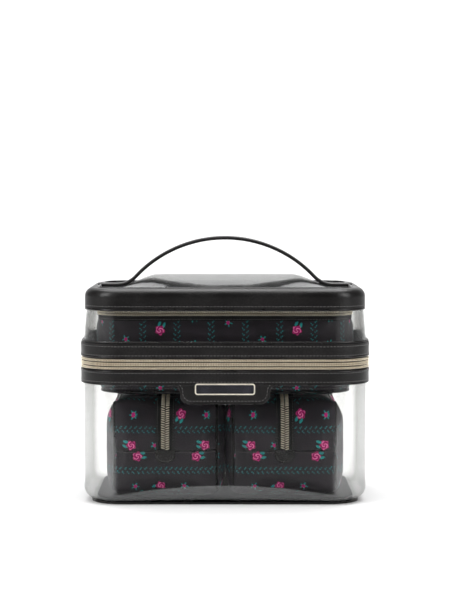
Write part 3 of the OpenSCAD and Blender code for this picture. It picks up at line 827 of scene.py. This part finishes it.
def band_stitching():
    """Thread rows on every band, and the cord that rolls each band's edge."""
    wall = outline(CASE_W, CASE_D, CORNER_R, 3 * MM)
    low, high = side("lid_band", 2, 0), side("lid_band", 2, 1)
    top, proud = BODY_BAND_TOP, 0.05 * MM
    for name, body, z in (("lid_band_stitches_upper", "lid", high - 2.3 * MM),
                          ("lid_band_stitches_lower", "lid", low + 2 * MM),
                          ("body_band_stitches_upper", "case_body", top - 2 * MM),
                          ("body_band_stitches_lower", "case_body", top - 10 * MM)):
        stitches(name, raised(wall, BAND_OUT + proud, z), body)
    inset = 1.2 * MM
    lean = outline(CASE_W - 2 * inset, CASE_D - 2 * inset, CORNER_R - inset, 3 * MM)
    stitches("top_band_stitches", raised(lean, proud, side("lid_top_band", 2, 0) + 2.2 * MM), "lid")
    for name, body, z, sunk in (("lid_band_lip", "lid", low + 0.5 * MM, 0.4 * MM),
                                ("body_band_lip_upper", "case_body", top - 0.6 * MM, 0.4 * MM),
                                ("body_band_lip_lower", "case_body", top - 12.2 * MM, 0.6 * MM)):
        sweep(name, raised(wall, 0, z), disc(BAND_OUT - sunk, 0, 0.9 * MM), TRIM, body)


def tab_edge():
    """The painted edge and the thread row round the front tab."""
    front = side("body_band", 1, 0)
    r = 7.65 * MM
    top = BODY_BAND_TOP - BODY_BAND_H
    half_top, drop = 47.7 * MM, 17.5 * MM
    half_low = half_top - 2 * r
    quarter = [math.radians(90 * k / 8) for k in range(9)]
    edge = [(half_top - r * math.sin(t), top - r + r * math.cos(t)) for t in quarter]
    edge += [(half_low + r * math.cos(t), top - drop + r - r * math.sin(t)) for t in quarter]
    edge += [(-x, z) for x, z in reversed(edge)]
    path = [(Vector((x, front, z)), FRONT) for x, z in edge]
    dense = [(p, n) for p, _, n in walk(path, 1.5 * MM, False)]
    sweep("front_tab_edge", dense, disc(-0.3 * MM, 0, 0.75 * MM, 8), TRIM, "case_body",
          closed=False, across=crossways(dense))
    inset = [(x * 0.955, z + 2.3 * MM if z < top - drop + r else z + 1.2 * MM) for x, z in edge]
    row = [(Vector((x, front - 0.05 * MM, z)), FRONT) for x, z in inset]
    stitches("front_tab_stitches", row, "case_body", closed=False, margin=4 * MM)


def top_sheet():
    """The clear lid panel: it bulges upwards in the middle and lies flat under the strap's ends."""
    low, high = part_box("lid_top_panel")
    w, d, r = high.x - low.x, high.y - low.y, 26.8 * MM
    rise, flat_from, flat_to, fullness = 11.5 * MM, 62 * MM, 103 * MM, 1.15
    thickness, hem, rings = 1 * MM, 4 * MM, 22
    verts, faces = [], []
    edge = [p for p, _ in outline(w, d, r, 5 * MM)]
    size = len(edge)

    def bulge(x, y):
        t = min(max((abs(x) - flat_from) / (flat_to - flat_from), 0), 1)
        fy = min(abs(y) / (d / 2 - hem), 1)
        return rise * (1 - t * t * (3 - 2 * t)) * (1 - fy * fy) ** fullness

    for drop in (0, -thickness):
        for k in range(rings, 0, -1):
            for p in edge:
                q = p * (k / rings)
                verts.append(Vector((q.x, q.y, PANEL_Z + bulge(q.x, q.y) + drop)))
        verts.append(Vector((0, 0, PANEL_Z + bulge(0, 0) + drop)))
    layer = rings * size + 1
    pairs = [(i, (i + 1) % size) for i in range(size)]
    for base in (0, layer):
        cells = []
        for k in range(rings - 1):
            a, b = base + k * size, base + (k + 1) * size
            cells += [(a + i, a + j, b + j, b + i) for i, j in pairs]
        last, centre = base + (rings - 1) * size, base + rings * size
        cells += [(last + i, last + j, centre) for i, j in pairs]
        faces += [(f[0], *f[:0:-1]) for f in cells] if base else cells
    faces += [(i, layer + i, layer + j, j) for i, j in pairs]
    sheet = make("lid_top_sheet", verts, faces, CLEAR_TOP, "lid")
    tidy_normals(sheet)
    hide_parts("lid_top_panel")


def body_sheet():
    """The clear wall: upright, then turned in under the case. At the front the turn starts as a
    soft crease that arches up in the middle."""
    low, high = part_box("clear_body_wall")
    turn_in, foot_z, arch = 11 * MM, low.z, 12 * MM
    thick = 1 * MM
    line = outline(CASE_W, CASE_D, CORNER_R, 4 * MM)
    reach = CASE_W / 2 - 20 * MM
    levels = []
    turns, upright = 16, 9
    for p, n in line:
        front = max(0.0, -n.y) ** 4
        bend_top = foot_z + turn_in + front * (arch * (1 - (p.x / reach) ** 2) - 7 * MM)
        crease = bend_top + 1 * MM
        rows = [(0, high.z - (high.z - crease) * i / (upright - 1)) for i in range(upright)]
        for k in range(turns + 1):
            down = k / turns
            t = math.pi / 2 * down
            x = (1 - math.cos(t)) * (1 - front) + front * (0.36 * down + 0.64 * down ** 7)
            z = (1 - math.sin(t)) * (1 - front) + front * (1 - down)
            rows.append((-x * turn_in, foot_z + (bend_top - foot_z) * z))
        rows.append((-turn_in - 6 * MM, foot_z))
        inner = [(x - thick, z) for x, z in rows[:upright]]
        for (x0, z0), (x1, z1), (x2, z2) in zip(rows[upright - 1:], rows[upright:],
                                                rows[upright + 1:] + rows[-1:]):
            tangent = Vector((x2 - x0, z2 - z0)).normalized()
            inner.append((x1 + tangent.y * thick, z1 - tangent.x * thick))
        ring = rows + inner[:len(rows)][::-1]
        levels.append([p + n * x + UP * z for x, z in ring])
    sheet = loft("clear_body_sheet", levels, CLEAR, "case_body", closed=True)
    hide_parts("clear_body_wall")


def hinge_strip():
    """The cloth strip that hinges the lid: a flat strip from the case up to the lid."""
    low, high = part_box("back_hinge")
    y = high.y
    cols, rows = 34, 14
    verts, faces = [], []
    for depth in (0, -TAPE_OUT * 0.9):
        for i in range(rows + 1):
            z = low.z + (high.z - low.z) * i / rows
            verts += [Vector((low.x + (high.x - low.x) * k / cols, y + depth, z))
                      for k in range(cols + 1)]
    n = cols + 1
    total = n * (rows + 1)
    for base, flip in ((0, 0), (total, 1)):
        for i in range(rows):
            for k in range(cols):
                a = base + i * n + k
                quad = (a, a + 1, a + 1 + n, a + n)
                faces.append(quad[::-1] if flip else quad)
    rim = [*range(n), *(i * n + cols for i in range(1, rows + 1)),
           *(rows * n + k for k in range(cols - 1, -1, -1)), *(i * n for i in range(rows - 1, 0, -1))]
    faces += [(a, a + total, b + total, b) for a, b in zip(rim, rim[1:] + rim[:1])]
    strip = make("back_hinge_strip", verts, faces, LINING, None)
    tidy_normals(strip)
    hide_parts("back_hinge")
    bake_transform(strip)


def handle():
    """The strap: flat ends sewn to the lid, an arch between, bending where it leaves the lid."""
    box_low, box_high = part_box("handle_arch")
    end_low, end_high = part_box("handle_end_right")
    thick = end_high.z - end_low.z
    radius, heel = 115.7 * MM, 25 * MM
    centre_z = box_high.z - thick / 2 - radius
    low_z = end_low.z + thick / 2
    heel_x = end_low.x
    turn = math.asin(heel_x / (radius + heel))
    tip = end_high.x + 4 * MM
    arch_steps, heel_steps, end_steps = 48, 12, 6
    half = []
    for k in range(arch_steps + 1):
        t = turn * k / arch_steps
        out = Vector((math.sin(t), 0, math.cos(t)))
        half.append((Vector((radius * out.x, 0, centre_z + radius * out.z)), out))
    for k in range(1, heel_steps + 1):
        t = turn * (1 - k / heel_steps)
        out = Vector((math.sin(t), 0, math.cos(t)))
        half.append((Vector((heel_x - heel * out.x, 0, low_z + heel - heel * out.z)), out))
    for k in range(1, end_steps + 1):
        half.append((Vector((heel_x + (tip - heel_x) * k / end_steps, 0, low_z)), UP))
    path = [(Vector((-p.x, 0, p.z)), Vector((-n.x, 0, n.z))) for p, n in half[:0:-1]] + half
    wide = (end_high.y - end_low.y) / 2
    under, over = -thick / 2 - 0.2 * MM, thick / 2 + 0.3 * MM
    edge_low, edge_high = wide - 0.6 * MM, wide - 0.7 * MM
    section = [(under, -edge_low), (under, 0), (under, edge_low), (under / 2, wide),
               (over / 2, wide), (over, edge_high), (over + 0.2 * MM, wide * 0.5),
               (over + 0.3 * MM, 0), (over + 0.2 * MM, -wide * 0.5), (over, -edge_high),
               (over / 2, -wide), (under / 2, -wide)]
    across = [-FRONT] * len(path)
    strap = sweep("handle_strap", path, section, STRAP, None, closed=False, across=across)
    pieces = [strap]
    row_y = wide - 2.2 * MM
    for y, name in ((-row_y, "front"), (row_y, "back")):
        row = [(p + n * (over + 0.05 * MM) + Vector((0, y, 0)), n) for p, n in path]
        pieces.append(stitches(f"handle_stitches_{name}", row, None, closed=False,
                               pitch=3.0, fat=0.26, margin=0.8 * MM))
    for piece in pieces:
        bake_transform(piece)
    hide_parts("handle_arch", "handle_end_left", "handle_end_right", "handle_flex_left",
                "handle_flex_right")


def paint_frame():
    """Materials for the CAD nodes that stay in view."""
    look = {
        CLEAR: ("lid_wall",),
        BAND: ("body_band", "lid_band", "lid_top_band"),
        TRIM: ("base_panel", "lid_band_piping", "lid_top_piping", "lid_top_welt", "zip_end_tabs"),
        LINING: ("base_board", "body_band_lining", "lid_band_lining"),
        PLATE: ("nameplate_frame",), ENAMEL: ("nameplate_insert",),
        SLIDER: ("main_slider_front", "main_slider_rear", "main_pull_front", "main_pull_rear",
                 "upper_bag_slider", "upper_bag_pull", "left_bag_slider", "left_bag_pull",
                 "right_bag_slider", "right_bag_pull"),
    }
    for material, nodes in look.items():
        for name in nodes:
            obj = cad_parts[name]
            obj.data.materials.clear()
            obj.data.materials.append(material)


# ---- studio
def area(name, place, aim, size, power, color=(1, 1, 1)):
    light = bpy.data.lights.new(name, "AREA")
    light.shape, light.size, light.size_y = "RECTANGLE", *size
    light.energy, light.color = power, color
    obj = bpy.data.objects.new(name, light)
    obj.location = place
    obj.rotation_euler = (Vector(aim) - Vector(place)).to_track_quat("-Z", "Y").to_euler()
    bpy.context.scene.collection.objects.link(obj)


def studio():
    """White paper curving up behind, soft boxes above and at the sides, a dim room in front."""
    half, front, back, bend, top = 3.0, -0.56, 1.5, 0.9, 3.0
    line = [(front, 0), (back, 0)]
    line += [(back + bend * math.sin(t), bend * (1 - math.cos(t)))
             for t in np.linspace(0.1, math.pi / 2, 14)]
    line.append((back + bend, top))
    verts = [(x, y, z) for y, z in line for x in (-half, half)]
    faces = [(2 * i, 2 * i + 1, 2 * i + 3, 2 * i + 2) for i in range(len(line) - 1)]
    make("paper_sweep", verts, faces, floor_paper(), None)
    world = bpy.data.worlds.new("studio")
    bpy.context.scene.world = world
    world.use_nodes = True
    tree = world.node_tree
    split = tree.nodes.new("ShaderNodeSeparateXYZ")
    tree.links.new(tree.nodes.new("ShaderNodeTexCoord").outputs["Generated"], split.inputs[0])
    fade = tree.nodes.new("ShaderNodeMapRange")
    fade.interpolation_type = "SMOOTHSTEP"
    for key, value in (("From Min", 0.0), ("From Max", 0.25), ("To Min", 0.3), ("To Max", 0.03)):
        fade.inputs[key].default_value = value
    tree.links.new(split.outputs[2], fade.inputs["Value"])
    sky = tree.nodes["Background"]
    sky.inputs["Color"].default_value = (1, 1, 1, 1)
    tree.links.new(fade.outputs[0], sky.inputs["Strength"])
    aim = (0, 0, 0.12)
    area("overhead", (0, 0.2, 1.5), (0, 0.1, 0), (1.7, 1.3), 38)
    area("key_left", (-1.35, -0.9, 1.0), aim, (0.5, 1.1), 21)
    area("fill_right", (1.35, -0.9, 0.9), aim, (0.5, 1.1), 16)
    area("paper_wash", (0, 0.8, 2.1), (0, 2.3, 0.7), (2.6, 0.6), 52)
    bpy.context.scene.view_settings.view_transform = "Standard"


def camera():
    """Straight on and a little above the lid."""
    away, eye_z, aim_z = 1.56, 0.278, 0.1874
    lens = bpy.data.cameras.new("camera")
    lens.sensor_width, lens.lens = 36, 103.8
    obj = bpy.data.objects.new("camera", lens)
    front = -CASE_D / 2
    obj.location = (0, front - away, eye_z)
    look = Vector((0, front, aim_z))
    obj.rotation_euler = (look - obj.location).to_track_quat("-Z", "Y").to_euler()
    bpy.context.scene.collection.objects.link(obj)
    bpy.context.scene.camera = obj


camera()
studio()
paint_frame()
for bag in ("left", "right"):
    lower_bag(bag)
upper_bag()
main_zip()
band_stitching()
tab_edge()
body_sheet()
top_sheet()
hinge_strip()
handle()
